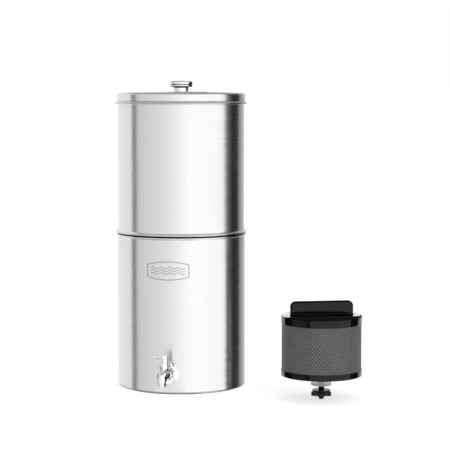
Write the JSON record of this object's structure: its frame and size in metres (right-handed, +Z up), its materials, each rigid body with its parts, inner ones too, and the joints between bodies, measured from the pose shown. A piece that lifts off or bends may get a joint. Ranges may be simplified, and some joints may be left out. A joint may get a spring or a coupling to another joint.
{
  "type": "gravity water filter with tap",
  "caption": "Two-chamber stainless steel gravity water filter with lever tap, knobbed lid and a lift-out carbon cartridge; a second cartridge stands beside it.",
  "frame": {"origin": "on the vessel's vertical axis, in the plane that the lower chamber stands on", "axes": "+Z up along the vessel's axis, -Y towards the tap and badge, +X to the right of someone facing the tap"},
  "size_m": [0.4361, 0.2785, 0.523],
  "materials": {
    "brushed_steel": "brushed",
    "polished_steel": "polished",
    "chrome": "mirror",
    "plain_steel": "plain",
    "gloss_black": "gloss",
    "matte_black": "satin",
    "mesh_grey": "matt",
    "fleece": "felted",
    "carbon": "sintered",
    "white_plastic": "satin",
    "white_silicone": "soft",
    "black_rubber": "matt"
  },
  "bodies": {
    "lower_chamber": {"lower_chamber_shell": "brushed_steel", "badge_plate": "polished_steel", "tap_body": "chrome", "tap_escutcheon": "chrome", "tap_outer_washer": "black_rubber", "tap_inner_washer": "black_rubber", "tap_lock_nut": "plain_steel", "tap_bonnet": "chrome"},
    "tap_lever": {"tap_plug": "plain_steel", "tap_o_ring": "black_rubber", "tap_lever": "chrome", "tap_lever_screw": "chrome"},
    "upper_chamber": {"upper_chamber_shell": "brushed_steel", "cartridge_backing_washer": "gloss_black"},
    "lid": {"lid_pan": "brushed_steel", "lid_knob": "polished_steel", "knob_washer": "plain_steel", "knob_screw": "plain_steel"},
    "filter_cartridge": {"cartridge_top_cap": "gloss_black", "cartridge_mesh_sleeve": "mesh_grey", "cartridge_fleece_wrap": "fleece", "cartridge_carbon_block": "carbon", "cartridge_core_tube": "white_plastic", "cartridge_bottom_cap": "gloss_black", "cartridge_sealing_washer": "white_silicone"},
    "hand_nut": {"cartridge_hand_nut": "matte_black"},
    "spare_cartridge": {"spare_top_cap": "gloss_black", "spare_mesh_sleeve": "mesh_grey", "spare_fleece_wrap": "fleece", "spare_carbon_block": "carbon", "spare_core_tube": "white_plastic", "spare_bottom_cap": "gloss_black", "spare_sealing_washer": "white_silicone", "spare_backing_washer": "gloss_black"},
    "spare_hand_nut": {"spare_hand_nut": "matte_black"}
  },
  "joints": [
    {"name": "upper_chamber_lift", "type": "slide", "parent": "lower_chamber", "child": "upper_chamber", "axis": [0, 0, 1], "range_m": [0, 0.2]},
    {"name": "lid_lift", "type": "slide", "parent": "upper_chamber", "child": "lid", "axis": [0, 0, 1], "range_m": [0, 0.15]},
    {"name": "cartridge_lift", "type": "slide", "parent": "upper_chamber", "child": "filter_cartridge", "axis": [0, 0, 1], "range_m": [0, 0.1]},
    {"name": "hand_nut_turn", "type": "hinge", "parent": "upper_chamber", "child": "hand_nut", "pos_m": [0, 0, 0.2415], "axis": [0, 0, 1], "continuous": true},
    {"name": "spare_cartridge_lift", "type": "slide", "parent": "lower_chamber", "child": "spare_cartridge", "axis": [0, 0, 1], "range_m": [0, 0.15]},
    {"name": "spare_hand_nut_turn", "type": "hinge", "parent": "spare_cartridge", "child": "spare_hand_nut", "pos_m": [0.25618, -0.0986, 0.0085], "axis": [0, 0, 1], "continuous": true},
    {"name": "tap_lever_turn", "type": "hinge", "parent": "lower_chamber", "child": "tap_lever", "pos_m": [0, -0.1364, 0.066], "axis": [0, 0, 1], "range_deg": [0, 90]}
  ]
}
